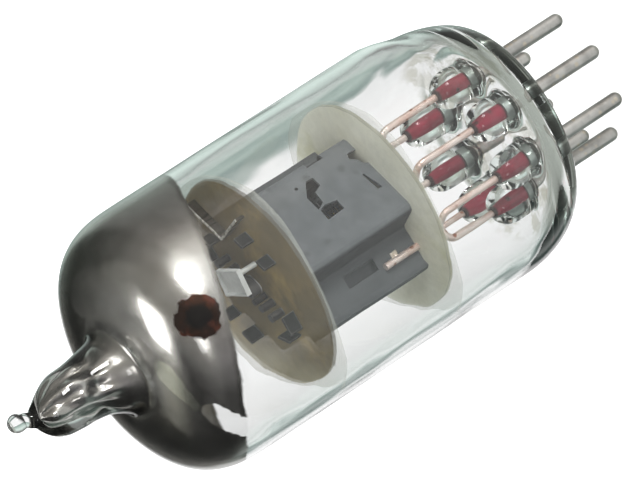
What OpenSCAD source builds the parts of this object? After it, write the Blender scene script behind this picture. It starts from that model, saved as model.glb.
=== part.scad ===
// Miniature glass pentode with seven stiff wire pins in its base.
// The tube stands upright: Z runs along the bulb towards the sealed tip, and Z = 0 is the flat
// underside of the glass base, on the axis of the pin circle. The front of the anode faces -Y.

/* [Bulb] */
// Outside diameter of the straight glass wall
bulb_d = 19; // [18.2:0.1:20.5]
// Thickness of the blown glass wall
bulb_wall = 0.85; // [0.6:0.05:1.1]
// Height at which the straight wall ends and the dome starts
dome_z = 27.8; // [27:0.1:32]
// Height of the dome above the straight wall
dome_h = 6.5; // [5.5:0.1:8]
// Squareness of the dome's shoulder, where 2 is an ellipse
dome_power = 3.1; // [2.4:0.1:3.4]
// How far the rounded edge of the base reaches in from the straight wall
base_edge_r = 2.8; // [2.2:0.1:2.9]
// Height of the rounded edge of the base
base_edge_h = 5; // [3.5:0.1:5.5]
// Width of the flat ring between the rounded edge and the button
base_land = 0.15; // [0.1:0.05:0.4]

/* [Sealed tip] */
// Radius of the drawn-out tip at its widest
tip_r = 2.14; // [1.8:0.02:2.4]
// Thickness of the glass in the tip
tip_wall = 0.6; // [0.4:0.05:0.8]
// Height of the tip above the dome, to the middle of its end bead
tip_h = 7.85; // [7:0.05:9]
// Radius of the bead that seals the tip
bead_r = 0.66; // [0.6:0.02:0.8]

/* [Button stem] */
// Thickness of the pressed glass button
button_t = 1.6; // [1.3:0.1:2]
// Radius of the glass mound round each wire
mound_r = 1.35; // [1.15:0.05:1.5]
// Height of a mound above the button
mound_h = 3.4; // [3:0.1:4]
// Height of the glass collar where a pin leaves the underside
collar_h = 0.3; // [0.15:0.05:0.45]

/* [Pins and leads] */
// Diameter of the circle that the pins stand on
pin_circle_d = 9.525; // [9.2:0.025:9.8]
// Diameter of a pin
pin_d = 1.016; // [0.9:0.004:1.1]
// Length of a pin below the base
pin_len = 6.6; // [5.5:0.1:7.2]
// Angle of the empty place in the pin circle
pin_gap_angle = 342.7; // [335:0.1:350]
// Height in the glass at which a pin is welded to its seal wire
pin_weld_z = 2.1; // [1.9:0.05:2.6]
// Diameter of the copper-clad wire that seals in the glass
seal_wire_d = 0.7; // [0.6:0.02:0.8]
// Diameter of a lead inside the bulb
lead_d = 0.5; // [0.4:0.02:0.6]
// Radius of a lead's bends, on its centre line
lead_bend_r = 0.6; // [0.4:0.05:0.7]

/* [Mica spacers] */
// Height of the lower spacer's underside
lower_mica_z = 12; // [11.8:0.1:12.6]
// Clear distance between the two spacers
mica_span = 10; // [9:0.1:10.8]
// Thickness of a spacer
mica_t = 0.25; // [0.15:0.01:0.35]
// Distance from the axis to the middle of a spacer's bulging side
mica_side = 7.95; // [7.7:0.05:8.1]
// Radius of the bulging sides
mica_side_r = 14.2; // [13.5:0.1:15.5]
// Gap between a spacer's corners and the glass
mica_fit = 0.01; // [0.01:0.01:0.05]
// Gap round what passes through a spacer
hole_fit = 0.01; // [0.01:0.01:0.05]

/* [Anode] */
// Thickness of the anode's sheet metal
sheet_t = 0.22; // [0.15:0.01:0.28]
// Distance from the axis to the middle of the crown's sheet
crown_y = 4.15; // [3.8:0.05:4.3]
// Half the width of the crown
crown_x = 3.5; // [3.3:0.05:3.7]
// Half the distance between the side walls at their feet
wall_foot_x = 3; // [2.9:0.05:3.2]
// Distance from the axis plane to the side walls' feet
wall_foot_y = 1.5; // [1.4:0.05:1.7]
// Half the width across the two flanges
flange_x = 5.8; // [5.75:0.05:6.1]
// Width of the lip on which the two halves are crimped
lip_w = 0.55; // [0.4:0.05:0.7]
// Radius of the sheet's bends, on its middle
sheet_bend_r = 0.4; // [0.25:0.05:0.5]
// Height of the ears beyond the spacers
ear_h = 1; // [0.7:0.1:1.2]
// Width of a crown ear
crown_ear_w = 0.9; // [0.6:0.1:1.1]
// Distance from the middle of the crown to each of its two upper ears
crown_ear_x = 1.1; // [0.9:0.05:1.4]
// Distance from the middle of the crown to its one lower ear
foot_ear_x = 0.45; // [0.3:0.05:0.9]
// Width of a flange ear
flange_ear_w = 1.1; // [0.8:0.1:1.3]
// Distance from the middle of the crown to a flange ear
flange_ear_x = 4.2; // [4:0.05:4.3]
// Height of the crown's window above the lower spacer
window_rise = 3.7; // [3:0.1:5]

/* [Grids, cathode and heater] */
// Thickness of the flat wire turns
turn_t = 0.1; // [0.08:0.01:0.14]
// Half the width of the control grid across its flat side
control_b = 0.75; // [0.65:0.05:0.85]
// Half the length of the control grid
control_a = 1.45; // [1.42:0.01:1.5]
// Radius of the control grid's rods
control_rod_r = 0.25; // [0.2:0.01:0.26]
// Number of turns of the control grid
control_turns = 18; // [12:1:20]
// Half the width of the screen grid across its flat side
screen_b = 1.3; // [1.15:0.05:1.4]
// Half the length of the screen grid
screen_a = 2.2; // [2.18:0.01:2.3]
// Radius of the screen grid's rods
screen_rod_r = 0.28; // [0.24:0.01:0.3]
// Number of turns of the screen grid
screen_turns = 14; // [10:1:16]
// Half the width of the suppressor grid across its flat side
suppressor_b = 1.9; // [1.75:0.05:2]
// Half the length of the suppressor grid
suppressor_a = 3.1; // [3.05:0.01:3.15]
// Radius of the suppressor grid's rods
suppressor_rod_r = 0.28; // [0.24:0.01:0.3]
// Number of turns of the suppressor grid
suppressor_turns = 10; // [7:1:12]
// Length of the grid rods beyond the spacers
rod_end = 1; // [0.8:0.1:1.2]
// Half the width of the cathode sleeve
cathode_b = 0.42; // [0.38:0.01:0.46]
// Half the length of the cathode sleeve's section
cathode_a = 0.74; // [0.7:0.01:0.76]
// Thickness of the cathode sleeve
cathode_wall = 0.08; // [0.06:0.01:0.1]
// Length of the cathode sleeve beyond the spacers
cathode_end = 0.8; // [0.6:0.1:1]
// Radius of the coated heater wire
heater_r = 0.12; // [0.1:0.01:0.14]
// Half the distance between the heater's two legs
heater_x = 0.28; // [0.24:0.01:0.32]

/* [Getter] */
// Height above the upper spacer at which the mirror's slanting edge crosses the axis
mirror_rise = 4.35; // [4.1:0.05:4.8]
// Slope of the mirror's edge
mirror_tilt = 24; // [18:0.5:25]
// Direction in which the mirror's edge climbs
mirror_dir = 192; // [180:1:204]
// Thickness of the mirror film
mirror_t = 0.05; // [0.04:0.01:0.08]
// Radius of the bare spot in the mirror
spot_r = 1.2; // [0.9:0.05:1.4]
// Direction of the bare spot
spot_dir = 244.7; // [235:0.1:255]
// Height of the bare spot above the end of the straight wall
spot_rise = 3.4; // [3:0.1:4]
// Length of the getter pan
pan_l = 2.8; // [2.4:0.1:3.2]
// Width of the getter pan
pan_w = 1.9; // [1.6:0.1:2.2]
// Depth of the getter pan
pan_h = 0.35; // [0.25:0.05:0.45]
// Clear height of the pan above the upper spacer
pan_rise = 1.6; // [1.3:0.1:2]
// Diameter of the post that carries the pan
post_d = 0.4; // [0.3:0.02:0.5]
// Height of the strap that stands on edge on the upper spacer
strap_h = 0.7; // [0.5:0.1:1]

/* [Hidden] */

$fn = 64;
// Overlap of cutting shapes past the faces that they cut
eps = 0.05;
pin_pitch_angle = 45;

bulb_r = bulb_d / 2;
bore_r = bulb_r - bulb_wall;
button_r = bulb_r - base_edge_r - base_land;
dome_top = dome_z + dome_h;
inner_dome_h = dome_h - bulb_wall;
mound_top = button_t + mound_h;
pin_r = pin_d / 2;
lead_r = lead_d / 2;
seal_r = seal_wire_d / 2;
upper_mica_z = lower_mica_z + mica_t + mica_span;
upper_mica_top = upper_mica_z + mica_t;
anode_z = lower_mica_z + mica_t;
mirror_edge_z = upper_mica_top + mirror_rise;
mica_r = bore_r - mica_fit;
control_rod_x = control_a - turn_t - control_rod_r;
screen_rod_x = screen_a - turn_t - screen_rod_r;
suppressor_rod_x = suppressor_a - turn_t - suppressor_rod_r;

// Vectors and curves

function unit(v) = v / norm(v);
function left_of(v) = [-v[1], v[0]];
function reversed(v) = [for (i = [len(v) - 1:-1:0]) v[i]];
function turn_between(a, b) = atan2(a[0] * b[1] - a[1] * b[0], a * b);
function bezier(a, b, c, d, n) = [
    for (i = [0:n]) let (t = i / n, s = 1 - t)
    s * s * s * a + 3 * s * s * t * b + 3 * s * t * t * c + t * t * t * d
];
function arc(centre, r, from, to, n) = [
    for (i = [0:n]) let (a = from + (to - from) * i / n)
    centre + r * [cos(a), sin(a)]
];

// One side of a strip bent along the points v: the points moved left by off, with round bends
function bend(p, q, s, r, off, n) =
    let (
        d = unit(q - p),
        turn = turn_between(d, unit(s - q)),
        side = sign(turn),
        start = q - d * r * tan(abs(turn) / 2),
        centre = start + left_of(d) * side * r,
        from = atan2(-left_of(d)[1] * side, -left_of(d)[0] * side)
    )
    arc(centre, r - side * off, from, from + turn, n);
function strip_side(v, r, off) =
    let (last = len(v) - 1)
    concat(
        [v[0] + left_of(unit(v[1] - v[0])) * off],
        [for (i = [1:last - 1]) each bend(v[i - 1], v[i], v[i + 1], r, off, 4)],
        [v[last] + left_of(unit(v[last] - v[last - 1])) * off]
    );
module strip(v, t, r)
    polygon(concat(strip_side(v, r, t / 2), reversed(strip_side(v, r, -t / 2))));

// A slot shape with round ends, half as long as a and half as wide as b, lying along X
module stadium(a, b) {
    square([2 * (a - b), 2 * b], center = true);
    for (x = [-1, 1])
        translate([x * (a - b), 0]) circle(r = b);
}

// Bulb

// Dome outline from the straight wall inwards to the radius r_end
function dome_side(r, h, r_end, n) =
    let (end = acos(pow(r_end / r, dome_power / 2)))
    [for (i = [0:n]) let (a = end * i / n)
        [r * pow(cos(a), 2 / dome_power), dome_z + h * pow(sin(a), 2 / dome_power)]];

// Radius at which the tip starts to rise out of the dome
flare_r = tip_r + 1.45;
bead_z = dome_top + tip_h;
tip_waist_z = dome_top + 0.42 * tip_h;
neck_z = bead_z - bead_r - 0.1;
neck_r = 0.9 * bead_r;

function outer_tip() =
    let (start = dome_side(bulb_r, dome_h, flare_r, 1)[1])
    concat(
        bezier(start, [tip_r + 0.6, start[1] + 0.16], [tip_r + 0.1, tip_waist_z - 1.6],
            [tip_r, tip_waist_z], 8),
        bezier([tip_r, tip_waist_z], [tip_r + 0.06, tip_waist_z + 1.7],
            [tip_r - 0.19, neck_z - 1.05], [neck_r, neck_z], 8),
        arc([0, bead_z], bead_r, -56, 90, 8)
    );

// The wall's inside in the dome and the tip, moved inwards by the thickness of a film
function inner_top(film) =
    let (
        r = bore_r - film,
        h = inner_dome_h - film,
        hollow = tip_r - tip_wall - film,
        start = dome_side(r, h, flare_r - tip_wall - film, 1)[1],
        end_z = neck_z - tip_wall - film
    )
    concat(
        dome_side(r, h, flare_r - tip_wall - film, 12),
        bezier(start, [hollow + 0.55, start[1] + 0.2], [hollow + 0.08, tip_waist_z - 1.6],
            [hollow, tip_waist_z], 6),
        bezier([hollow, tip_waist_z], [hollow + 0.05, tip_waist_z + 1.6],
            [hollow - 0.45, end_z - 0.25], [0, end_z], 6)
    );

// Radius of the inside corner between the button and the wall
base_fillet_r = bore_r - button_r - 0.2;

// The outside draws in towards the base along a quarter of an ellipse
function base_edge(n) = [
    for (i = [0:n]) let (a = 90 * i / n)
    [bulb_r - base_edge_r * (1 - sin(a)), base_edge_h * (1 - cos(a))]
];

module glass_bulb() color("lightcyan", 0.4)
    rotate_extrude($fn = 96)
        polygon(concat(
            [[button_r, 0]],
            base_edge(12),
            dome_side(bulb_r, dome_h, flare_r, 14),
            outer_tip(),
            reversed(inner_top(0)),
            arc([bore_r - base_fillet_r, button_t + base_fillet_r], base_fillet_r, 0, -90, 6),
            [[button_r, button_t]]
        ));

// Pins stand at equal angles from the gap; number 1 is next to it
function pin_angle(i) = pin_gap_angle + i * pin_pitch_angle;
function pin_at(i) = pin_circle_d / 2 * [cos(pin_angle(i)), sin(pin_angle(i))];

// How far the glass stands round a pin at the collar's end and at its root
collar_lip = 0.16;
collar_foot = 0.5;

// Pressed glass button: a disc with a mound inside and a collar outside round each wire
module button_stem() color("paleturquoise", 0.5)
    difference() {
        union() {
            cylinder(r = button_r, h = button_t);
            for (i = [1:7]) translate(pin_at(i)) {
                mound();
                translate([0, 0, -collar_h])
                    cylinder(r1 = pin_r + collar_lip, r2 = pin_r + collar_foot, h = collar_h + eps);
            }
        }
        for (i = [1:7]) translate(pin_at(i)) {
            translate([0, 0, -collar_h - eps])
                cylinder(r = pin_r, h = pin_weld_z + collar_h + eps);
            cylinder(r = seal_r, h = mound_top + eps);
        }
    }

// A mound flares into the button at its foot and is rounded at its top
mound_foot_r = min(0.35, button_r - pin_circle_d / 2 - mound_r);
mound_top_r = 0.8;
module mound()
    rotate_extrude()
        polygon(concat(
            [[0, button_t - eps], [mound_r + mound_foot_r, button_t - eps]],
            arc([mound_r + mound_foot_r, button_t + mound_foot_r], mound_foot_r, -90, -180, 3),
            arc([mound_r - mound_top_r, mound_top - mound_top_r], mound_top_r, 0, 80, 5),
            [[0, mound_top]]
        ));

// A pin has a hemispherical end and reaches up into the glass to its weld
module pin(i) color("gray")
    translate(concat(pin_at(i), -pin_len))
        rotate_extrude()
            polygon(concat(
                arc([0, pin_r], pin_r, -90, 0, 8),
                [[pin_r, pin_len + pin_weld_z], [0, pin_len + pin_weld_z]]
            ));

module seal_wire(i) color("darkred")
    translate(concat(pin_at(i), pin_weld_z))
        cylinder(r = seal_r, h = mound_top - pin_weld_z);

// Leads

// The anode's sloping flange, between the wall's foot and the crimped lip
lip_start = [flange_x - lip_w, sheet_t / 2];
wall_foot = [wall_foot_x, wall_foot_y];
flange_run = unit(lip_start - wall_foot);
// Where the anode lead lies on the flange: its centre is one radius above the sheet
lead_on_flange_x = 4.6;
flange_lead_y = wall_foot[1] + (lead_on_flange_x - wall_foot[0]) * flange_run[1] / flange_run[0]
    + (sheet_t / 2 + lead_r) / flange_run[0];
anode_lead_top = anode_z + 2.85;

// The leads end just under the lower spacer, and the heater's just under all that comes through it
lead_gap = 0.1;
lead_top = lower_mica_z - lead_gap;
heater_lead_top = lower_mica_z - max(rod_end, cathode_end) - lead_gap;
lead_bend_steps = 4;

// For each lead: its end in plan, the heights between which it jogs sideways, and its top
jog = [lead_top - 2.5, lead_top - 1];
low_jog = [lead_top - 5.5, lead_top - 3.1];
heater_jog = [heater_lead_top - 2.6, heater_lead_top - 1];
LEADS = [
    [[control_rod_x, control_rod_r + lead_r], low_jog, lead_top],
    [[suppressor_rod_x, suppressor_rod_r + lead_r], jog, lead_top],
    [[heater_x, heater_r + lead_r], heater_jog, heater_lead_top],
    [[-heater_x - heater_r - lead_r, 0], heater_jog, heater_lead_top],
    [[-lead_on_flange_x, -flange_lead_y], jog, anode_lead_top],
    [[-screen_rod_x, -screen_rod_r - lead_r], jog, lead_top],
    [[0, -cathode_b - lead_r], jog, lead_top]
];

// A round wire that rises to low, moves sideways by d along X, and goes on to top. Each station
// is a point of its centre line in X and Z, with the angle at which the wire leans there.
function jog_stations(d, low, high, from, top, bend_r) =
    let (
        slope = atan2(d - 2 * bend_r, high - low)
            + asin(2 * bend_r / norm([d - 2 * bend_r, high - low]))
    )
    concat(
        [[0, from, 0]],
        [for (i = [0:lead_bend_steps]) let (a = slope * i / lead_bend_steps)
            [bend_r * (1 - cos(a)), low + bend_r * sin(a), a]],
        [for (i = [lead_bend_steps:-1:0]) let (a = slope * i / lead_bend_steps)
            [d - bend_r * (1 - cos(a)), high - bend_r * sin(a), a]],
        [[d, top, 0]]
    );

// A round bar with one ring of points at each station
module swept_wire(stations, r, sides) {
    rings = len(stations);
    points = [for (s = stations, j = [0:sides - 1]) let (a = 360 * j / sides)
        [s[0] + r * cos(a) * cos(s[2]), r * sin(a), s[1] - r * cos(a) * sin(s[2])]];
    walls = [for (i = [0:rings - 2], j = [0:sides - 1]) let (k = (j + 1) % sides)
        [i * sides + j, (i + 1) * sides + j, (i + 1) * sides + k, i * sides + k]];
    bottom = [for (j = [0:sides - 1]) j];
    top = [for (j = [sides - 1:-1:0]) (rings - 1) * sides + j];
    polyhedron(points, concat(walls, [bottom, top]), convexity = 4);
}

module lead(i) color("darksalmon") {
    side = LEADS[i - 1][0] - pin_at(i);
    from_to = LEADS[i - 1][1];
    top = LEADS[i - 1][2];
    translate(pin_at(i)) rotate([0, 0, atan2(side[1], side[0])])
        swept_wire(jog_stations(norm(side), from_to[0], from_to[1], mound_top, top, lead_bend_r),
            lead_r, 16);
}

// Mica spacers

// A spacer has holes for the grid rods, the cathode and the ears at the places in ear_x
module mica(ear_x) difference() {
    linear_extrude(mica_t)
        intersection() {
            circle(r = mica_r, $fn = 96);
            for_all_sides() translate([mica_side - mica_side_r, 0])
                circle(r = mica_side_r, $fn = 128);
        }
    translate([0, 0, -eps]) linear_extrude(mica_t + 2 * eps) {
        for (s = [-1, 1]) {
            translate([s * control_rod_x, 0]) circle(r = control_rod_r + hole_fit);
            translate([s * screen_rod_x, 0]) circle(r = screen_rod_r + hole_fit);
            translate([s * suppressor_rod_x, 0]) circle(r = suppressor_rod_r + hole_fit);
        }
        stadium(cathode_a + hole_fit, cathode_b + hole_fit);
        for (turn = [0, 180]) rotate(turn) ears(ear_x, hole_fit);
    }
}

// The four sides face halfway between the X and Y axes
module for_all_sides() intersection() {
    rotate(45) children();
    rotate(135) children();
    rotate(225) children();
    rotate(315) children();
}

module lower_mica() color("tan", 0.8)
    difference() {
        translate([0, 0, lower_mica_z]) mica(lower_ears);
        translate([-lead_on_flange_x, -flange_lead_y, lower_mica_z - eps])
            cylinder(r = lead_r + hole_fit, h = mica_t + 2 * eps);
    }

// The getter's post is pressed into its hole
module upper_mica() color("tan", 0.8)
    difference() {
        translate([0, 0, upper_mica_z]) mica(upper_ears);
        translate(concat(post_at, upper_mica_z - eps))
            cylinder(r = post_d / 2, h = mica_t + 2 * eps);
    }

// Anode

// Section of one half, drawn from flange to flange over the crown, with the crown towards -Y
half_right = [
    [crown_x, -crown_y], [wall_foot_x, -wall_foot_y],
    [flange_x - lip_w, -sheet_t / 2], [flange_x, -sheet_t / 2]
];
half_section = concat([for (p = reversed(half_right)) [-p[0], p[1]]], half_right);

module half_plan() strip(half_section, sheet_t, sheet_bend_r);

// What lies outside the middle of the sheet
module outer_half()
    polygon(concat(
        strip_side(half_section, sheet_bend_r, 0),
        reversed(strip_side(half_section, sheet_bend_r, -sheet_t))
    ));

// Middles of the crown's ears, at each end of the anode
upper_ears = [-crown_ear_x, crown_ear_x];
lower_ears = [foot_ear_x];

// The stretches of the section that go on through a spacer: the crown's ears and the flanges'
module ears(crown_ears, fit)
    intersection() {
        strip(half_section, sheet_t + 2 * fit, sheet_bend_r);
        union() {
            for (x = crown_ears)
                translate([x, -crown_y]) square([crown_ear_w + 2 * fit, 2], center = true);
            for (s = [-1, 1])
                translate([s * flange_ear_x, -wall_foot_y / 2])
                    square([flange_ear_w + 2 * fit, 2 * wall_foot_y], center = true);
        }
    }

// Window in the crown: two openings with a bent tongue between them, from the window's corner
window_left = [[2.2, 0.1], [2.2, 0.7], [1.15, 1.5], [-0.05, 1.5], [0.25, 0.85], [1.15, 0.75], [1.4, 0.1]];
window_right = [[-0.15, 0], [0.05, 0.95], [-0.17, 1.45], [-1.05, 1.5], [-0.95, 0]];
dot_at = [2.1, 1.6];
dot_r = 0.13;
notch_depth = 0.55;
notch_z = [2.2, 3.6];
slit = [[0.4, 1], [-0.5, 0.95], [-1.1, 0.9], [-1.15, 0.5], [-0.5, 0.65], [0.4, 0.85]];
// Relief in the crown's lower edge, from the ear's side outwards
relief = [[0, -eps], [0.1, 0.25], [0.6, 0.45], [0.95, 0.85], [1.4, 0.7], [1.3, -eps]];
// Pocket pressed half through the flange: its corner and its size in X and Z
pocket_at = [-4.4, 3.25];
pocket = [0.75, 2.6];

// Cuts a shape drawn in X and Z through the front of a half
module front_cut(depth_from, depth_to)
    translate([0, -depth_to, anode_z]) rotate([90, 0, 0]) mirror([0, 0, 1])
        linear_extrude(depth_to - depth_from) children();

module anode_half() difference() {
    union() {
        translate([0, 0, anode_z]) linear_extrude(mica_span) half_plan();
        translate([0, 0, lower_mica_z - ear_h])
            linear_extrude(ear_h + mica_t + eps) ears(lower_ears, 0);
        translate([0, 0, upper_mica_z - eps])
            linear_extrude(ear_h + mica_t + eps) ears(upper_ears, 0);
    }
    front_cut(crown_y - 1, crown_y + 1) {
        translate([0, window_rise]) {
            polygon(window_left);
            polygon(window_right);
            translate(dot_at) circle(r = dot_r, $fn = 16);
        }
        polygon(slit);
        translate([foot_ear_x + crown_ear_w / 2, 0]) polygon(relief);
    }
    front_cut(crown_y - 0.7, crown_y + 1)
        translate([crown_x - notch_depth, notch_z[0]])
            square([notch_depth + 1, notch_z[1] - notch_z[0]]);
    intersection() {
        front_cut(0, wall_foot_y + 1)
            translate(pocket_at) square(pocket);
        translate([0, 0, anode_z]) linear_extrude(mica_span) outer_half();
    }
}

module anode_front() color("dimgray") anode_half();
module anode_rear() color("dimgray") rotate(180) anode_half();

// Grids, cathode and heater

// A grid is two rods with level loops of wire wound round them
module grid(a, b, rod_x, rod_r, turns) {
    for (s = [-1, 1])
        translate([s * rod_x, 0, lower_mica_z - rod_end])
            cylinder(r = rod_r, h = mica_span + 2 * mica_t + 2 * rod_end, $fn = 32);
    pitch = mica_span / (turns + 1);
    for (k = [1:turns])
        translate([0, 0, anode_z + k * pitch - turn_t / 2])
            linear_extrude(turn_t) difference() {
                stadium(a, b);
                stadium(a - turn_t - rod_r / 2, b - turn_t);
            }
}

module suppressor_grid() color("silver")
    grid(suppressor_a, suppressor_b, suppressor_rod_x, suppressor_rod_r, suppressor_turns);
module screen_grid() color("silver")
    grid(screen_a, screen_b, screen_rod_x, screen_rod_r, screen_turns);
module control_grid() color("goldenrod")
    grid(control_a, control_b, control_rod_x, control_rod_r, control_turns);

module cathode_sleeve() color("whitesmoke")
    translate([0, 0, lower_mica_z - cathode_end])
        linear_extrude(mica_span + 2 * mica_t + 2 * cathode_end)
            difference() {
                stadium(cathode_a, cathode_b);
                stadium(cathode_a - cathode_wall, cathode_b - cathode_wall);
            }

// The heater is a hairpin: two legs joined by a bend at the top of the sleeve, welded to its leads
heater_weld = 0.9;
heater_foot_z = heater_lead_top - heater_weld;
heater_bend_z = upper_mica_z - 0.6;
module heater() color("white") {
    for (s = [-1, 1])
        translate([s * heater_x, 0, heater_foot_z])
            cylinder(r = heater_r, h = heater_bend_z - heater_foot_z, $fn = 24);
    translate([0, 0, heater_bend_z]) rotate([90, 0, 0])
        rotate_extrude(angle = 180) translate([heater_x, 0]) circle(r = heater_r, $fn = 24);
}

// Getter

pan_z = upper_mica_top + pan_rise;
pan_angle = 48;
pan_at = [0.3, -1.4];
pan_wall = 0.12;
post_at = [0.3, -2];

module getter_pan() color("gainsboro")
    translate(concat(pan_at, pan_z)) rotate(pan_angle) difference() {
        translate([-pan_l / 2, -pan_w / 2, 0]) cube([pan_l, pan_w, pan_h]);
        translate([-pan_l / 2 + pan_wall, -pan_w / 2 + pan_wall, pan_wall])
            cube([pan_l - 2 * pan_wall, pan_w - 2 * pan_wall, pan_h]);
    }

module getter_post() color("silver")
    translate(concat(post_at, upper_mica_z))
        cylinder(r = post_d / 2, h = pan_z - upper_mica_z, $fn = 32);

// A strap on edge: one leg along the anode's face, and one bent away to the front
strap_route = [[6.6, -2.3], [3, -2.3], [1.9, -5.6]];
strap_t = 0.18;
strap_bend_r = 0.25;
module getter_strap() color("silver")
    translate([0, 0, upper_mica_top]) linear_extrude(strap_h)
        strip(strap_route, strap_t, strap_bend_r);

// The mirror is a film on the inside of the dome, down to a slanting edge, with one bare spot
below_edge = 2 * bulb_d;
module getter_mirror() color("slategray") difference() {
    rotate_extrude($fn = 96)
        polygon(concat(
            [[bore_r - mirror_t, upper_mica_top], [bore_r, upper_mica_top]],
            inner_top(0),
            reversed(inner_top(mirror_t))
        ));
    rotate([0, 0, mirror_dir])
        translate([0, 0, mirror_edge_z]) rotate([0, -mirror_tilt, 0])
            translate([0, 0, -below_edge / 2])
                cube([2 * below_edge, 2 * below_edge, below_edge], center = true);
    translate([0, 0, dome_z + spot_rise]) rotate([0, 90, spot_dir])
        cylinder(r = spot_r, h = bulb_r);
}

glass_bulb();
button_stem();
getter_mirror();
pin(1);  // pin_1
pin(2);  // pin_2
pin(3);  // pin_3
pin(4);  // pin_4
pin(5);  // pin_5
pin(6);  // pin_6
pin(7);  // pin_7
seal_wire(1);  // seal_wire_1
seal_wire(2);  // seal_wire_2
seal_wire(3);  // seal_wire_3
seal_wire(4);  // seal_wire_4
seal_wire(5);  // seal_wire_5
seal_wire(6);  // seal_wire_6
seal_wire(7);  // seal_wire_7
lead(1);  // lead_1
lead(2);  // lead_2
lead(3);  // lead_3
lead(4);  // lead_4
lead(5);  // lead_5
lead(6);  // lead_6
lead(7);  // lead_7
lower_mica();
upper_mica();
anode_front();
anode_rear();
suppressor_grid();
screen_grid();
control_grid();
cathode_sleeve();
heater();
getter_pan();
getter_post();
getter_strap();
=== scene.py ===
# %% [markdown]
# # A miniature glass pentode, finished for the camera
#
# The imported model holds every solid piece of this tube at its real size. This lesson gives those
# pieces their looks: clear glass, a metal mirror, sheet metal, mica, wires and pins. Each step says
# what the real thing is, how it could be made in Blender, and why it is made this way here.

import math

import bmesh
import bpy
import numpy as np
from mathutils import Matrix, Vector, noise
from mathutils.geometry import delaunay_2d_cdt


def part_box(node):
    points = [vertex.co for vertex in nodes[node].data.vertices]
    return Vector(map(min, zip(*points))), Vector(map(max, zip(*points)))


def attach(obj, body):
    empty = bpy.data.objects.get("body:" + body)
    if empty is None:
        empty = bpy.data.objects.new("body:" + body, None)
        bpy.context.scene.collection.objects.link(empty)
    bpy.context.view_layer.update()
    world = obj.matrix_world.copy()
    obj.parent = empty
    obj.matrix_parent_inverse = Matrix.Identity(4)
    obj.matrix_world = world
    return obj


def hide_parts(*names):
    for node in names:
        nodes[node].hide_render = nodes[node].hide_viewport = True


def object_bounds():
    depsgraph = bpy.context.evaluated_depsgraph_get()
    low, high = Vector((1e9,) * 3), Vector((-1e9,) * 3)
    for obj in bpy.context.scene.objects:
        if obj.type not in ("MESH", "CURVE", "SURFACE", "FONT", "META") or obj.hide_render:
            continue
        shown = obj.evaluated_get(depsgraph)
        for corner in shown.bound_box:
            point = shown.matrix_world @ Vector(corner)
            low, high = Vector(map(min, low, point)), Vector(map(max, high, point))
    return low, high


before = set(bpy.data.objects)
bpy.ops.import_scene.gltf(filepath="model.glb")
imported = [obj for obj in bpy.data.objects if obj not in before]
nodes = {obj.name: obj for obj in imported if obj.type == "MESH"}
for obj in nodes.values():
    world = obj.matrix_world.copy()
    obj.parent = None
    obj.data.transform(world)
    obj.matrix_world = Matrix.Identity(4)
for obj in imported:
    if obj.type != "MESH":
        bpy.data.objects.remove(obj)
cad_low, cad_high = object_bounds()
MM = 0.001
print("solid pieces:", len(nodes), "box in mm:", [round(v / MM, 2) for v in cad_high - cad_low])

# %% [markdown]
# ## Sizes that the glass needs
#
# The glass is rebuilt below as one fused body, so its sizes are named here once more. They are the
# real ones, in millimetres, with Z along the bulb from the flat base to the sealed tip.

# %% Name the sizes of the glass
# The bulb, its dome, and the rounded edge of its base
BULB_R = 9.5
WALL = 0.85
BORE_R = BULB_R - WALL
DOME_Z = 27.8
DOME_H = 6.5
DOME_TOP = DOME_Z + DOME_H
DOME_POWER = 3.1
BASE_EDGE_R = 2.8
BASE_EDGE_H = 5.0
# The soft corner between the wall and the floor inside
INSIDE_CORNER_R = 2.1
INSIDE_CORNER_H = 4.2
# The drawn-out tip, its hollow, and the bead that seals it
TIP_R = 2.14
FLARE_R = TIP_R + 1.45
TIP_WALL = 0.6
HOLLOW_R = 1.3
WAIST_Z = DOME_TOP + 3.3
BEAD_R = 0.66
BEAD_Z = DOME_TOP + 7.85
NECK_R = 0.6
NECK_Z = BEAD_Z - BEAD_R - 0.1
# The pressed button with its mounds inside and its collars round the pins outside
BUTTON_R = 6.55
BUTTON_T = 1.6
MOUND_TOP = 5.0
COLLAR_H = 0.3
PIN_R = 0.508
PIN_CIRCLE_R = 4.7625
PIN_GAP_ANGLE = 342.7
PIN_NUMBERS = range(1, 8)
# How many points go round each turned outline
AROUND = 192


def pin_place(number):
    angle = math.radians(PIN_GAP_ANGLE + 45 * number)
    return PIN_CIRCLE_R * math.cos(angle), PIN_CIRCLE_R * math.sin(angle)


print("pin 1 stands at", [round(v, 2) for v in pin_place(1)])

# %% [markdown]
# ## The camera
#
# The picture looks down on the tube from the front with a long lens, and is turned so that the
# sealed tip points to the lower left. Three unit vectors say this: to the right of the picture, up
# in the picture, and towards the camera. They are the columns of the camera's matrix.

# %% Set the camera
PICTURE_RIGHT = Vector((-0.6528, -0.1016, -0.7505))
PICTURE_UP = Vector((0.6532, -0.5764, -0.4904))
TO_CAMERA = PICTURE_RIGHT.cross(PICTURE_UP).normalized()
AIM = Vector((-0.235, 0.111, 16.75)) * MM
CAMERA_DISTANCE = 0.4
LENS = 337
SENSOR_WIDTH = 36

bpy.context.scene.view_settings.view_transform = "Standard"
lens = bpy.data.cameras.new("camera")
lens.sensor_width = SENSOR_WIDTH
lens.lens = LENS
lens.clip_start = 0.01
camera = bpy.data.objects.new("camera", lens)
bpy.context.scene.collection.objects.link(camera)
turn = Matrix((PICTURE_RIGHT, PICTURE_UP.normalized(), TO_CAMERA)).transposed()
camera.matrix_world = Matrix.Translation(AIM + TO_CAMERA * CAMERA_DISTANCE) @ turn.to_4x4()
bpy.context.scene.camera = camera
print("camera looks down by", round(math.degrees(math.asin(TO_CAMERA.z)), 1), "degrees")

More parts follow.
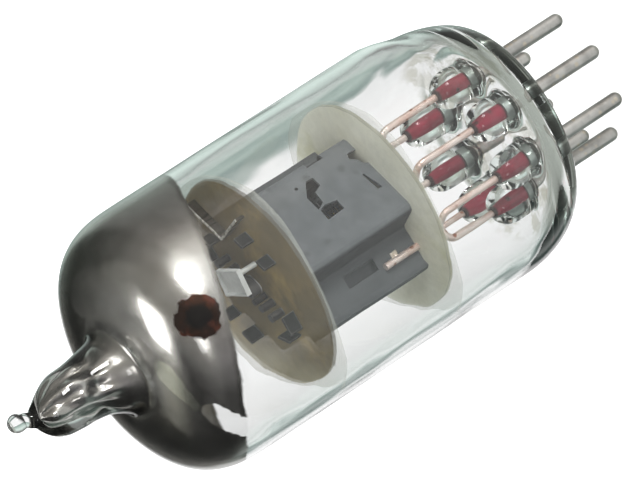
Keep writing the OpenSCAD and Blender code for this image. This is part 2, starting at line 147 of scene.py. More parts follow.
# %% [markdown]
# ## Small helpers for shader nodes
#
# A material is a graph of nodes. One short function adds a node and fills its inputs, where an
# input may be a value or the output of another node, so that a graph reads like a formula.


# %% Define the helpers for sums and blends
def feed(tree, node, inputs):
    for key, value in inputs.items():
        if isinstance(value, bpy.types.NodeSocket):
            tree.links.new(value, node.inputs[key])
        else:
            node.inputs[key].default_value = value
    return node


def put(tree, kind, inputs=None, **settings):
    node = tree.nodes.new(kind)
    for name, value in settings.items():
        setattr(node, name, value)
    return feed(tree, node, inputs or {})


def number(tree, operation, a, b=0.0, c=0.0, clamp=False):
    return put(tree, "ShaderNodeMath", {0: a, 1: b, 2: c}, operation=operation, use_clamp=clamp).outputs[0]


def times(tree, a, b):
    return number(tree, "MULTIPLY", a, b)


def times_plus(tree, a, b, c):
    return number(tree, "MULTIPLY_ADD", a, b, c)


def ramp(tree, value, low, high, low_out=0.0, high_out=1.0):
    inputs = {"Value": value, "From Min": low, "From Max": high, "To Min": low_out, "To Max": high_out}
    return put(tree, "ShaderNodeMapRange", inputs, interpolation_type="SMOOTHSTEP").outputs["Result"]


def blend(tree, factor, a, b):
    return put(tree, "ShaderNodeMix", {0: factor, 6: a, 7: b}, data_type="RGBA").outputs[2]


def vector(tree, operation, inputs):
    return put(tree, "ShaderNodeVectorMath", inputs, operation=operation).outputs


print("helpers for sums and blends ready")


# %% Define the helpers for materials
def bump(tree, height, strength, depth, normal=None):
    inputs = {"Height": height, "Strength": strength, "Distance": depth * MM}
    if normal is not None:
        inputs["Normal"] = normal
    return put(tree, "ShaderNodeBump", inputs).outputs[0]


def ray(tree, kind):
    return put(tree, "ShaderNodeLightPath").outputs[f"Is {kind} Ray"]


def place(tree):
    return put(tree, "ShaderNodeTexCoord").outputs["Object"]


def axes(tree, position):
    return put(tree, "ShaderNodeSeparateXYZ", {0: position}).outputs


def new_material(name):
    material = bpy.data.materials.new(name)
    material.use_nodes = True
    tree = material.node_tree
    return material, tree, tree.nodes["Principled BSDF"]


print("helpers for materials ready")

# %% [markdown]
# ## Shared effects
#
# Sheet metal, mica, wires and the mirror all show the same few things: cloudy tone, small specks,
# fine lines along the drawn wire, and the getter's dark smoke. Each is built once as a node group
# with named inputs, and every material then sets its own scale and amount. A group gives out only
# masks.


# %% Start a shared effect
def effect(name, **inputs):
    tree = bpy.data.node_groups.new(name, "ShaderNodeTree")
    tree.interface.new_socket("Position", in_out="INPUT", socket_type="NodeSocketVector")
    for title, value in inputs.items():
        kind = "NodeSocketFloat" if isinstance(value, float) else "NodeSocketVector"
        tree.interface.new_socket(title, in_out="INPUT", socket_type=kind).default_value = value
    tree.interface.new_socket("Mask", in_out="OUTPUT", socket_type="NodeSocketFloat")
    return tree, put(tree, "NodeGroupInput").outputs


def give_out(tree, mask):
    put(tree, "NodeGroupOutput", {"Mask": mask})


def use(tree, group, at, **inputs):
    return put(tree, "ShaderNodeGroup", {"Position": at, **inputs}, node_tree=group).outputs["Mask"]


print("each shared effect takes a Position and gives out a Mask")

# %% Build the cloudy tone, the specks, the drawn lines and the smoke
CLOUDS, given = effect("clouds", Scale=300.0, Low=0.35, High=0.65)
noise_inputs = {"Vector": given["Position"], "Scale": given["Scale"], "Detail": 4.0, "Roughness": 0.6}
field = put(CLOUDS, "ShaderNodeTexNoise", noise_inputs).outputs["Fac"]
give_out(CLOUDS, ramp(CLOUDS, field, given["Low"], given["High"]))

SPECKS, given = effect("specks", Scale=900.0, Share=0.3)
cells = put(SPECKS, "ShaderNodeTexVoronoi", {"Vector": given["Position"], "Scale": given["Scale"]})
lone = put(SPECKS, "ShaderNodeSeparateColor", {0: cells.outputs["Color"]}).outputs[0]
chosen = number(SPECKS, "LESS_THAN", lone, given["Share"])
give_out(SPECKS, times(SPECKS, chosen, ramp(SPECKS, cells.outputs["Distance"], 0.18, 0.5, 1.0, 0.0)))

DRAWN, given = effect("drawn_lines", Stretch=(1.0, 1.0, 0.06), Scale=3500.0)
mapping_inputs = {"Vector": given["Position"], "Scale": given["Stretch"]}
pulled = put(DRAWN, "ShaderNodeMapping", mapping_inputs).outputs[0]
noise_inputs = {"Vector": pulled, "Scale": given["Scale"], "Detail": 2.0, "Roughness": 0.5}
field = put(DRAWN, "ShaderNodeTexNoise", noise_inputs).outputs["Fac"]
give_out(DRAWN, ramp(DRAWN, field, 0.3, 0.7))

SMOKE, given = effect("getter_smoke", Start=22.5 * MM)
above = number(SMOKE, "SUBTRACT", axes(SMOKE, given["Position"])["Z"], given["Start"])
give_out(SMOKE, ramp(SMOKE, above, -0.02 * MM, 0.12 * MM, 0.0, 0.96))
print("shared effects:", [g.name for g in bpy.data.node_groups])

# %% [markdown]
# ## The studio
#
# A plain pale floor carries the tube, and the camera sees white behind it. Glass shows its shape
# only by what it bends and mirrors, so photographers put dark cards beside it. Here the world takes
# that part: rays that have passed through glass or were mirrored see soft grey-green bands at some
# compass directions, while the camera itself sees plain white. The mirrored dome also sees a dim
# room above the horizon and a paler ceiling, whose edge dips lower a little to the right.

# %% Name the colours of the room
WHITE = (1, 1, 1, 1)
UNDER = (0.42, 0.45, 0.41, 1)
AMBIENT = (0.55, 0.56, 0.56, 1)
# Colours round the horizon, by degrees clockwise from where the camera looks: the table below
# the horizon, and the room and the ceiling above it, which only the mirror and the metal show
TABLE = [
    (-180, (0.80, 0.81, 0.80)), (-120, (0.78, 0.82, 0.80)), (-100, (0.10, 0.14, 0.13)),
    (-62, (0.20, 0.25, 0.23)), (-53, (0.45, 0.52, 0.49)), (-46, (0.80, 0.86, 0.83)),
    (-42, (0.70, 0.78, 0.75)), (-38.5, (0.25, 0.31, 0.29)), (-33, (0.14, 0.18, 0.17)),
    (-30, (0.30, 0.36, 0.34)), (-27, (1.0, 1.0, 1.0)), (5.8, (1.0, 1.0, 1.0)),
    (7.4, (0.36, 0.44, 0.41)), (9, (0.26, 0.34, 0.32)), (11.5, (0.36, 0.46, 0.42)),
    (15, (0.48, 0.60, 0.55)), (20, (0.58, 0.70, 0.64)), (27, (0.76, 0.87, 0.82)),
    (36, (0.66, 0.77, 0.72)), (46, (0.25, 0.26, 0.25)), (84, (0.24, 0.235, 0.225)),
    (104, (0.40, 0.38, 0.36)), (126, (0.95, 0.92, 0.86)), (150, (0.80, 0.81, 0.80))]
ROOM = [
    (-180, (0.42, 0.40, 0.38)), (-145, (0.34, 0.33, 0.34)), (-112, (0.08, 0.08, 0.08)),
    (-60, (0.03, 0.03, 0.03)), (8, (0.022, 0.024, 0.023)), (18, (0.05, 0.055, 0.05)),
    (46, (0.06, 0.066, 0.06)), (78, (0.16, 0.16, 0.15)), (104, (0.30, 0.29, 0.27)),
    (135, (0.52, 0.50, 0.46)), (165, (0.46, 0.44, 0.41))]
CEILING = [
    (-180, (0.36, 0.35, 0.33)), (-110, (0.16, 0.16, 0.16)), (-80, (0.04, 0.04, 0.04)),
    (-32, (0.05, 0.05, 0.05)), (-15, (0.46, 0.46, 0.40)), (-4, (0.30, 0.30, 0.28)),
    (16, (0.085, 0.09, 0.085)), (60, (0.26, 0.26, 0.24)), (120, (0.44, 0.43, 0.40)),
    (165, (0.40, 0.39, 0.37))]
# Heights of the soft edges between them, as the Z of a direction, from low to high
UNDER_EDGE = (-0.74, -0.62)
HORIZON_EDGE = (-0.22, -0.02)
CEILING_EDGE = (0.52, 0.585)
# How far the ceiling's edge dips, and the degrees over which the dip comes and goes
DIP = 0.26
DIP_COMES = (3, 11)
DIP_GOES = (14, 50)
VIEW_COMPASS = math.atan2(-TO_CAMERA.y, -TO_CAMERA.x)
print("colours round the horizon:", len(TABLE), "below and", len(ROOM) + len(CEILING), "above")

# %% Build the world
world = bpy.data.worlds.new("studio")
bpy.context.scene.world = world
world.use_nodes = True
tree = world.node_tree
direction = axes(tree, put(tree, "ShaderNodeTexCoord").outputs["Generated"])
view_cos, view_sin = math.cos(VIEW_COMPASS), math.sin(VIEW_COMPASS)
ahead = times_plus(tree, direction["X"], view_cos, times(tree, direction["Y"], view_sin))
aside = times_plus(tree, direction["X"], view_sin, times(tree, direction["Y"], -view_cos))
compass = number(tree, "ARCTAN2", aside, ahead)
share = times_plus(tree, compass, 1 / math.tau, 0.5)


def round_the_horizon(stops):
    ring = put(tree, "ShaderNodeValToRGB", {0: share})
    elements = ring.color_ramp.elements
    while len(elements) < len(stops):
        elements.new(0.5)
    # All places are set before any colour, because Blender sorts the elements when one moves
    for element, (degrees, colour) in zip(elements, stops):
        element.position = degrees / 360 + 0.5
    for element, (degrees, colour) in zip(elements, stops):
        element.color = (*colour, 1)
    return ring.outputs["Color"]


below = blend(tree, ramp(tree, direction["Z"], *UNDER_EDGE, 1.0, 0.0), round_the_horizon(TABLE), UNDER)
dip_comes, dip_goes = [[math.radians(v) for v in edge] for edge in (DIP_COMES, DIP_GOES)]
dip = times(tree, ramp(tree, compass, *dip_comes, 0.0, DIP), ramp(tree, compass, *dip_goes, 1.0, 0.0))
in_ceiling = ramp(tree, number(tree, "ADD", direction["Z"], dip), *CEILING_EDGE)
above = blend(tree, in_ceiling, round_the_horizon(ROOM), round_the_horizon(CEILING))
around = blend(tree, ramp(tree, direction["Z"], *HORIZON_EDGE), below, above)
seen = blend(tree, ray(tree, "Camera"), around, WHITE)
feed(tree, tree.nodes["Background"], {"Color": blend(tree, ray(tree, "Diffuse"), seen, AMBIENT)})
print("nodes in the world's graph:", len(tree.nodes))


# %% Lay the floor
FLOOR_R = 0.7
FLOOR_SIDES = 96
FLOOR_GLOW = 0.95
mesh = bpy.data.meshes.new("floor")
rim = [(FLOOR_R * math.cos(a), FLOOR_R * math.sin(a), cad_low.z)
       for a in np.linspace(0, math.tau, FLOOR_SIDES, endpoint=False)]
mesh.from_pydata(rim, [], [list(range(FLOOR_SIDES))])
floor = bpy.data.objects.new("floor", mesh)
bpy.context.scene.collection.objects.link(floor)
material, tree, shader = new_material("pale_floor")
feed(tree, shader, {
    "Base Color": (0.8, 0.8, 0.8, 1), "Roughness": 0.9, "Specular IOR Level": 0.1,
    "Emission Color": WHITE, "Emission Strength": times(tree, ray(tree, "Camera"), FLOOR_GLOW)})
mesh.materials.append(material)
floor.visible_glossy = False
floor.visible_transmission = False
print("floor at", round(cad_low.z / MM, 2), "mm")

# %% Hang the lamps
# Each has a name, its direction from the tube, its distance, width and height in metres, and its
# power in watts
LAMPS = [
    ("key_lamp", (0.12, -0.97, 0.08), 0.42, 0.10, 0.13, 0.85),
    ("fill_lamp", (-0.51, -0.48, 0.71), 0.42, 0.09, 0.09, 0.10),
    ("top_lamp", (0.22, 0.10, 0.97), 0.50, 0.22, 0.13, 0.62)]
for name, direction, distance, width, height, power in LAMPS:
    data = bpy.data.lights.new(name, "AREA")
    data.shape = "RECTANGLE"
    data.size = width
    data.size_y = height
    data.energy = power
    lamp = bpy.data.objects.new(name, data)
    bpy.context.scene.collection.objects.link(lamp)
    towards = Vector(direction).normalized()
    lamp.location = AIM + towards * distance
    lamp.rotation_mode = "QUATERNION"
    lamp.rotation_quaternion = towards.to_track_quat("Z", "Y")

# %% [markdown]
# ## Outlines of the blown glass
#
# The bulb, its dome and the drawn-out tip are bodies of revolution. A few arcs and smooth curves
# give the outer and the inner outline, written as radius and height. The two middle points of a
# curve are its handles. The flat base and the floor of the bulb are added later as flat patches.


# %% Define the curves
def curve(a, b, c, d, steps):
    t = np.linspace(0, 1, steps + 1)[:, None]
    a, b, c, d = (np.array(p, float) for p in (a, b, c, d))
    s = 1 - t
    return s ** 3 * a + 3 * s * s * t * b + 3 * s * t * t * c + t ** 3 * d


def arc(centre, r, start, end, steps):
    a = np.radians(np.linspace(start, end, steps + 1))
    return np.array(centre) + r * np.stack([np.cos(a), np.sin(a)], 1)


def quarter(r_out, z_low, across, up, steps=18):
    a = np.linspace(0, math.pi / 2, steps + 1)
    return np.stack([r_out - across * (1 - np.sin(a)), z_low + up * (1 - np.cos(a))], 1)


def dome_side(r, h, r_end, steps=28):
    end = math.acos((r_end / r) ** (DOME_POWER / 2))
    a = np.linspace(0, end, steps + 1)
    return np.stack([r * np.cos(a) ** (2 / DOME_POWER), DOME_Z + h * np.sin(a) ** (2 / DOME_POWER)], 1)


def straight(r, low, high, steps):
    return np.stack([np.full(steps + 1, r), np.linspace(low, high, steps + 1)], 1)


print("the dome's side rises to", round(dome_side(BULB_R, DOME_H, FLARE_R)[-1][1], 2), "mm")


# %% Draw the outlines
def outer_outline():
    foot = quarter(BULB_R, 0, BASE_EDGE_R, BASE_EDGE_H)
    wall = straight(BULB_R, BASE_EDGE_H, DOME_Z, 24)
    dome = dome_side(BULB_R, DOME_H, FLARE_R)
    flare = curve(dome[-1], [TIP_R + 0.6, dome[-1][1] + 0.16], [TIP_R + 0.1, WAIST_Z - 1.6],
                  [TIP_R, WAIST_Z], 14)
    taper = curve([TIP_R, WAIST_Z], [TIP_R + 0.06, WAIST_Z + 1.7], [TIP_R - 0.6, NECK_Z - 1.0],
                  [NECK_R, NECK_Z - 0.3], 16)
    bead = np.vstack([[[NECK_R - 0.02, NECK_Z + 0.1]], arc([0, BEAD_Z], BEAD_R, -38, 90, 12)])
    return np.vstack([[[BUTTON_R, 0]], foot, wall[1:-1], dome, flare[1:], taper[1:], bead])


def inner_top(inset):
    hollow = HOLLOW_R - inset
    end_z = NECK_Z - 1.0 - inset
    dome = dome_side(BORE_R - inset, DOME_H - WALL - inset, FLARE_R - TIP_WALL - inset)
    flare = curve(dome[-1], [hollow + 0.55, dome[-1][1] + 0.2], [hollow + 0.08, WAIST_Z - 1.6],
                  [hollow, WAIST_Z], 14)
    taper = curve([hollow, WAIST_Z], [hollow - 0.05, WAIST_Z + 1.2], [hollow - 0.4, end_z - 0.3],
                  [0, end_z], 14)
    return np.vstack([dome, flare[1:], taper[1:]])


def inner_outline():
    corner = quarter(BORE_R, BUTTON_T, INSIDE_CORNER_R, INSIDE_CORNER_H)
    wall = straight(BORE_R, BUTTON_T + INSIDE_CORNER_H, DOME_Z, 24)
    return np.vstack([corner, wall[1:-1], inner_top(0)])


print("outline points:", len(outer_outline()), "outside and", len(inner_outline()), "inside")

# %% [markdown]
# ## The pressed stem
#
# Inside the bulb a glass mound rises round each wire, and on the underside a small collar of glass
# clings to each pin. Both are flat patches with rings of points round every wire, joined by a
# triangle net, and then lifted by a height rule. Rings keep each mound round and smooth.

# %% Make the two patches of the stem
# Radius and height of each ring round a wire, from the wire outwards
MOUND_SIDE = [
    (0, MOUND_TOP + 0.12), (0.28, MOUND_TOP + 0.12), (0.36, MOUND_TOP + 0.1), (0.46, MOUND_TOP + 0.03),
    (0.58, MOUND_TOP - 0.02), (0.74, MOUND_TOP - 0.07), (0.9, MOUND_TOP - 0.17), (1.04, MOUND_TOP - 0.31),
    (1.16, MOUND_TOP - 0.5), (1.25, MOUND_TOP - 0.74), (1.31, MOUND_TOP - 1.05), (1.34, MOUND_TOP - 1.5),
    (1.355, MOUND_TOP - 2.1), (1.37, MOUND_TOP - 2.7), (1.40, BUTTON_T + 0.28), (1.46, BUTTON_T + 0.14),
    (1.56, BUTTON_T + 0.04), (1.66, BUTTON_T)]
COLLAR_SIDE = [
    (0, -COLLAR_H), (PIN_R + 0.02, -COLLAR_H), (PIN_R + 0.1, -COLLAR_H + 0.01),
    (PIN_R + 0.17, -COLLAR_H + 0.07), (PIN_R + 0.26, -0.16), (PIN_R + 0.36, -0.07),
    (PIN_R + 0.48, -0.02), (PIN_R + 0.64, 0)]
# Radius and number of points of two plain rings that keep the middle's triangles even
MIDDLE_RINGS = [(2.0, 24), (1.0, 12)]


def stem_patch(outer_r, side, level, wire_sides):
    points, heights, edges = [], [], []

    def add_ring(centre, r, height, sides):
        start = len(points)
        for angle in np.linspace(0, math.tau, sides, endpoint=False):
            points.append((centre[0] + r * math.cos(angle), centre[1] + r * math.sin(angle)))
        heights.extend([height] * sides)
        edges.extend((start + i, start + (i + 1) % sides) for i in range(sides))

    add_ring((0, 0), outer_r, level, AROUND)
    for i in PIN_NUMBERS:
        centre = pin_place(i)
        points.append(centre)
        heights.append(side[0][1])
        for r, height in side[1:]:
            add_ring(centre, r, height, wire_sides)
    for r, sides in MIDDLE_RINGS:
        add_ring((0, 0), r, level, sides)
    flat = [Vector(p) for p in points]
    found, _, faces, origin, _, _ = delaunay_2d_cdt(flat, edges, [], 0, 1e-5)
    verts = [(p.x, p.y, heights[origin[i][0]]) for i, p in enumerate(found)]
    return verts, [list(f) for f in faces]


stem_floor = stem_patch(BORE_R - INSIDE_CORNER_R, MOUND_SIDE, BUTTON_T, 40)
underside = stem_patch(BUTTON_R, COLLAR_SIDE, 0.0, 32)
print("stem floor:", len(stem_floor[0]), "points and", len(stem_floor[1]), "triangles")

# %% [markdown]
# ## One body of glass
#
# On the real tube the bulb and the stem are melted into one. Two separate solids would show a false
# mirror where they meet, so a single closed mesh stands for both: the revolved outlines and the two
# patches, welded along their rings. Blown glass is never quite true. The tip leans a little, the
# rounded edge of the base is dented on one side, the inside of the tip is crumpled, and the inside
# of the wall waves by a few hundredths of a millimetre, which is what makes its lines waver.

# %% Name how far the glass strays from its true shapes
TIP_LEAN = Vector((0.904, -0.427, 0))
# How far the tip is pushed over, and the heights between which each push comes
TIP_PUSHES = [(0.33, 33.6, 36.5), (-0.15, 38.4, 40), (0.7, 40.2, 42.2)]
# How deep the base is dented, from which radius outwards, and where the dent ends above it
BASE_DENT = 0.6
DENT_R = (6.6, 9.5)
DENT_Z = (4, 7)
# How much the two skins wave, and the heights between which the waves start and end
OUTER_WAVE = 0.02
INNER_WAVE = 0.06
WAVE_LENGTH = 7.0
WAVES_START = (3.2, 6)
WAVES_END = (38, 40)
# The heights between which the hollow tip crumples and shifts, and how far it shifts
CRUMPLE_Z = (34.2, 36.4)
SHIFT_Z = (35.4, 37.5)
HOLLOW_SHIFT = 0.2
print("the tip is pushed", len(TIP_PUSHES), "times, and the base's edge is dented by", BASE_DENT, "mm")


# %% Bend the true shapes as the glassworker left them
def step(value, low, high):
    t = min(max((value - low) / (high - low), 0), 1)
    return t * t * (3 - 2 * t)


def lean(point):
    x, y, z = point
    pushed = sum(far * step(z, *heights) for far, *heights in TIP_PUSHES)
    r = math.hypot(x, y)
    side = max(x * TIP_LEAN.x + y * TIP_LEAN.y, 0) / max(r, 1e-6)
    dent = BASE_DENT * side * side * step(r, *DENT_R) * (1 - step(z, *DENT_Z))
    return Vector(point) + TIP_LEAN * (pushed - dent)


def wave(point, amount):
    x, y, z = point
    r = math.hypot(x, y)
    if r < 1e-6:
        return Vector(point)
    swell = noise.noise(Vector((x / r * 2.2, y / r * 2.2, z / WAVE_LENGTH)))
    fine = noise.noise(Vector((x / r * 6, y / r * 6, z / 2.5 + 9)))
    grow = 1 - amount * (0.5 + 0.4 * swell + 0.25 * fine) / r
    return Vector((x * grow, y * grow, z))


def crumple(point):
    x, y, z = point
    r = math.hypot(x, y)
    if r < 1e-6:
        return Vector(point)
    fold = noise.noise(Vector((x / r * 1.5, y / r * 1.5, z * 0.6 + 3)))
    crease = noise.noise(Vector((x / r * 2.4, y / r * 2.4, z * 0.7 + 20)))
    grow = 1 - step(z, *CRUMPLE_Z) * (0.10 + 0.30 * fold + 0.10 * crease)
    return Vector((x * grow, y * grow, z)) + TIP_LEAN * HOLLOW_SHIFT * step(z, *SHIFT_Z)


def still_at_tip(z):
    return 1 - step(z, *WAVES_END)


print("the tip's end leans by", round(lean((0, 0, 42.5)).xy.length, 2), "mm")


# %% Turn an outline into a skin
def turned(outline):
    a = np.linspace(0, math.tau, AROUND, endpoint=False)
    body = outline[:-1]
    verts = [(r * math.cos(t), r * math.sin(t), z) for r, z in body for t in a]
    faces = [[i * AROUND + j, i * AROUND + (j + 1) % AROUND,
              (i + 1) * AROUND + (j + 1) % AROUND, (i + 1) * AROUND + j]
             for i in range(len(body) - 1) for j in range(AROUND)]
    verts.append((0, 0, outline[-1][1]))
    last = (len(body) - 1) * AROUND
    faces += [[last + j, last + (j + 1) % AROUND, len(verts) - 1] for j in range(AROUND)]
    return verts, faces


def new_object(name, verts, faces):
    mesh = bpy.data.meshes.new(name)
    mesh.from_pydata([tuple(v) for v in verts], [], faces)
    piece = bpy.data.objects.new(name, mesh)
    bpy.context.scene.collection.objects.link(piece)
    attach(piece, "root")
    return piece


def smooth(piece):
    piece.data.polygons.foreach_set("use_smooth", [True] * len(piece.data.polygons))


def closed_skin(parts, amount, hollow):
    skin = bmesh.new()
    for verts, faces in parts:
        made = []
        for v in verts:
            calm = min(step(v[2], *WAVES_START), still_at_tip(v[2]))
            shaped = wave(crumple(v) if hollow else v, amount * calm)
            made.append(skin.verts.new(lean(shaped) * MM))
        for face in faces:
            skin.faces.new([made[i] for i in face])
    bmesh.ops.remove_doubles(skin, verts=skin.verts, dist=2e-7)
    bmesh.ops.recalc_face_normals(skin, faces=skin.faces)
    if hollow:
        bmesh.ops.reverse_faces(skin, faces=skin.faces)
    return skin


print("faces of the turned outer outline:", len(turned(outer_outline())[1]))

# %% Weld the glass
outside = closed_skin([turned(outer_outline()), underside], OUTER_WAVE, False)
inside = closed_skin([turned(inner_outline()), stem_floor], INNER_WAVE, True)
glass = new_object("glass_envelope", [], [])
inside.to_mesh(glass.data)
outside.from_mesh(glass.data)
outside.to_mesh(glass.data)
smooth(glass)
open_edges = sum(1 for e in outside.edges if not e.is_manifold)
print("glass:", len(outside.verts), "points,", open_edges, "open edges")
inside.free()
outside.free()
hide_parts("glass_bulb", "button_stem")

# %% [markdown]
# ## The mirror film
#
# A getter is fired in the finished tube and leaves a thin film of metal on the inside of the dome.
# The film touches the glass, so this sheet lies two hundredths of a millimetre inside the wall's
# own surface, and it follows the same waves and folds. It is cut a little below a slanting edge,
# and its material then fades it out along that edge.

# %% Make the mirror film
# The edge's height on the axis, its rise for each millimetre along X and along Y, and how far
# below it the sheet still goes on
EDGE_Z = 26.85
EDGE_SLOPE = Vector((-0.433, -0.091))
EDGE_MARGIN = 0.9
FILM_LOW_Z = 21.6
FILM_IN_GLASS = 0.02


def past_edge(point):
    x, y, z = point
    return z - EDGE_Z - EDGE_SLOPE.x * x - EDGE_SLOPE.y * y


def mend(piece):
    shape = bmesh.new()
    shape.from_mesh(piece.data)
    loose = [v for v in shape.verts if not v.link_faces]
    bmesh.ops.delete(shape, geom=loose, context="VERTS")
    bmesh.ops.recalc_face_normals(shape, faces=shape.faces)
    open_edges = sum(1 for e in shape.edges if not e.is_manifold)
    shape.to_mesh(piece.data)
    shape.free()
    smooth(piece)
    return open_edges


film_side = straight(BORE_R + FILM_IN_GLASS, FILM_LOW_Z, DOME_Z, 18)
film_verts, film_faces = turned(np.vstack([film_side[:-1], inner_top(-FILM_IN_GLASS)]))
kept = [f for f in film_faces if max(past_edge(film_verts[i]) for i in f) > -EDGE_MARGIN]
film_verts = [lean(wave(crumple(v), INNER_WAVE * still_at_tip(v[2]))) * MM for v in film_verts]
film = new_object("mirror_film", film_verts, kept)
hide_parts("getter_mirror")
mend(film)
print("mirror film:", len(film.data.polygons), "faces")

# %% [markdown]
# ## Glass
#
# Blown soda-lime glass is clear, and only long ways through it look green. So its surface has no
# colour, apart from brownish blotches low on the rim, and a weak absorption in its body does the
# tinting. Lamps reach the metal inside through a straight see-through path for shadow rays and soft
# indirect rays, which keeps the picture clean.

# %% Make the glass material
BLOTCHES_FADE = (1.3 * MM, 2.3 * MM)
material, tree, shader = new_material("bulb_glass")
at = place(tree)
rim = ramp(tree, axes(tree, at)["Z"], *BLOTCHES_FADE, 0.8, 0.0)
blotches = times(tree, rim, use(tree, CLOUDS, at, Scale=380.0, Low=0.5, High=0.62))
feed(tree, shader, {
    "Base Color": blend(tree, blotches, WHITE, (0.42, 0.41, 0.31, 1)), "Roughness": 0.0,
    "Specular IOR Level": 0.25, "IOR": 1.51, "Transmission Weight": 1.0})
clear = put(tree, "ShaderNodeBsdfTransparent", {"Color": (0.97, 0.985, 0.98, 1)})
soft_rays = number(tree, "MAXIMUM", ray(tree, "Shadow"), ray(tree, "Diffuse"))
both = put(tree, "ShaderNodeMixShader", {0: soft_rays, 1: shader.outputs[0], 2: clear.outputs[0]})
body = put(tree, "ShaderNodeVolumeAbsorption", {"Color": (0.42, 0.80, 0.72, 1), "Density": 11.0})
feed(tree, tree.nodes["Material Output"], {"Surface": both.outputs[0], "Volume": body.outputs[0]})
glass.data.materials.append(material)
print("glass material ready")

# %% [markdown]
# ## The mirror's metal
#
# The film is a grey metal that is cloudy, turns brown where it thins out at its edge, and has three
# flaws: a spot with a rust-brown rim whose black middle is painted shade, standing for the dark
# inside seen through an opening in the film, a pale patch, and a gap that the glass shows through.
# Distance from a point gives the spot, and distance from a short line gives the other two.
# Shadow rays find the film thinner than it looks, so that the lamps reach what stands behind it.

# %% Measure distances on the mirror
SPOT_PLACE = Vector((-3.3, -7.5, 30.95)) * MM
SPOT_CORE_FADE = (0.85 * MM, 1.2 * MM)
SPOT_RING_FADE = (1.5 * MM, 1.68 * MM)
# Start and end of each line, and the flaw's half width at both
PALE_PATCH = (Vector((-3.5, -3.5, 33.1)), Vector((-5.9, -2.3, 32.6)), 0.95, 0.45)
GAP = (Vector((-6.95, -2.2, 32.1)), Vector((-8.5, -0.7, 30.5)), 0.75, 0.85)


def near_line(tree, at, start, end, wide, narrow):
    run = end - start
    offset = vector(tree, "SUBTRACT", {0: at, 1: tuple(start * MM)})[0]
    along = vector(tree, "DOT_PRODUCT", {0: offset, 1: tuple(run)})["Value"]
    share = number(tree, "MULTIPLY", along, 1 / (run.length_squared * MM), clamp=True)
    foot = vector(tree, "SCALE", {0: tuple(run * MM), "Scale": share})[0]
    away = vector(tree, "DISTANCE", {0: offset, 1: foot})["Value"]
    away = times_plus(tree, share, (wide - narrow) * MM, away)
    away = times_plus(tree, use(tree, CLOUDS, at, Scale=700.0), 0.25 * MM, away)
    return ramp(tree, away, wide * MM, (wide + 0.12) * MM, 1.0, 0.0)


def past_edge_mask(tree, at):
    x, y, z = axes(tree, at)
    edge = times_plus(tree, x, -EDGE_SLOPE.x / MM, -EDGE_Z)
    edge = times_plus(tree, y, -EDGE_SLOPE.y / MM, edge)
    edge = times_plus(tree, z, 1 / MM, edge)
    ragged = times_plus(tree, use(tree, CLOUDS, at, Scale=500.0, Low=0.2, High=0.8), 0.3, -0.15)
    return number(tree, "ADD", edge, ragged)


def spot_distance(tree, at):
    away = vector(tree, "DISTANCE", {0: at, 1: tuple(SPOT_PLACE)})["Value"]
    return times_plus(tree, use(tree, CLOUDS, at, Scale=900.0), 0.3 * MM, away)


print("the bare spot's middle in mm:", [round(v / MM, 2) for v in SPOT_PLACE])

# %% Make the mirror's material
material, tree, shader = new_material("getter_film")
at = place(tree)
edge = past_edge_mask(tree, at)
fringe = ramp(tree, edge, 0.0, 0.5, 1.0, 0.0)
gap = near_line(tree, at, *GAP)
thick = times(tree, ramp(tree, edge, -0.15, 0.1), times_plus(tree, gap, -0.9, 1.0))
spot_away = spot_distance(tree, at)
# The spot's black middle is painted shade for the dark inside of the tube
painted_dark_core = ramp(tree, spot_away, *SPOT_CORE_FADE, 1.0, 0.0)
ring = ramp(tree, spot_away, *SPOT_RING_FADE, 1.0, 0.0)
cloud = use(tree, CLOUDS, at, Scale=130.0, Low=0.35, High=0.65)
silver = blend(tree, cloud, (0.40, 0.385, 0.36, 1), (0.54, 0.525, 0.50, 1))
silver = blend(tree, near_line(tree, at, *PALE_PATCH), silver, (0.66, 0.66, 0.58, 1))
brown = blend(tree, times(tree, fringe, 0.6), silver, (0.12, 0.11, 0.09, 1))
streak = use(tree, CLOUDS, at, Scale=1400.0, Low=0.45, High=0.7)
rust = blend(tree, streak, (0.022, 0.010, 0.006, 1), (0.085, 0.026, 0.015, 1))
spotted = blend(tree, painted_dark_core, blend(tree, ring, brown, rust), (0.006, 0.005, 0.005, 1))
rough = times_plus(tree, ring, 0.25, times_plus(tree, cloud, 0.06, 0.16))
shadow_share = times_plus(tree, ray(tree, "Shadow"), -0.6, 1.0)
feed(tree, shader, {
    "Base Color": spotted, "Metallic": 1.0, "Roughness": rough, "Alpha": times(tree, thick, shadow_share)})
film.data.materials.append(material)
print("mirror material ready")

# %% [markdown]
# ## The anode's sheet
#
# The anode is pressed from nickel sheet with a matt grey carbon coat, which lets it shed heat. The
# coat is cloudy and a little scuffed. A bevel node rounds the light on the sharp edges, and where it
# turns the surface most the coat is paler, partly rubbed metal and partly a painted highlight along
# the pressed bends. The flanges carry a little painted shade and the side walls more, and the
# shallow pocket pressed into each flange is painted darker still, with a painted shadow at its
# lower end. The ears above the upper spacer are black with smoke, with a painted highlight along
# their edges.

# %% Define how a piece is dressed
def dress(slot, material, *names):
    for name in names:
        piece = nodes[name]
        piece.data.materials.clear()
        piece.data.materials.append(material)


def numbered(word):
    return [f"{word}_{i}" for i in PIN_NUMBERS]


def between(tree, value, low, high, soft=0.06):
    rise = ramp(tree, value, (low - soft) * MM, (low + soft) * MM)
    return times(tree, rise, ramp(tree, value, (high - soft) * MM, (high + soft) * MM, 1.0, 0.0))


def rounded(tree, shader, radius, grain):
    bevel = put(tree, "ShaderNodeBevel", {"Radius": radius * MM}, samples=4).outputs[0]
    feed(tree, shader, {"Normal": bump(tree, grain, 0.15, 0.02, bevel)})
    flat = put(tree, "ShaderNodeNewGeometry").outputs["Normal"]
    agreement = vector(tree, "DOT_PRODUCT", {0: bevel, 1: flat})["Value"]
    return ramp(tree, agreement, 0.86, 1.0, 1.0, 0.0)


print("numbered pieces run from", numbered("pin")[0], "to", numbered("pin")[-1])

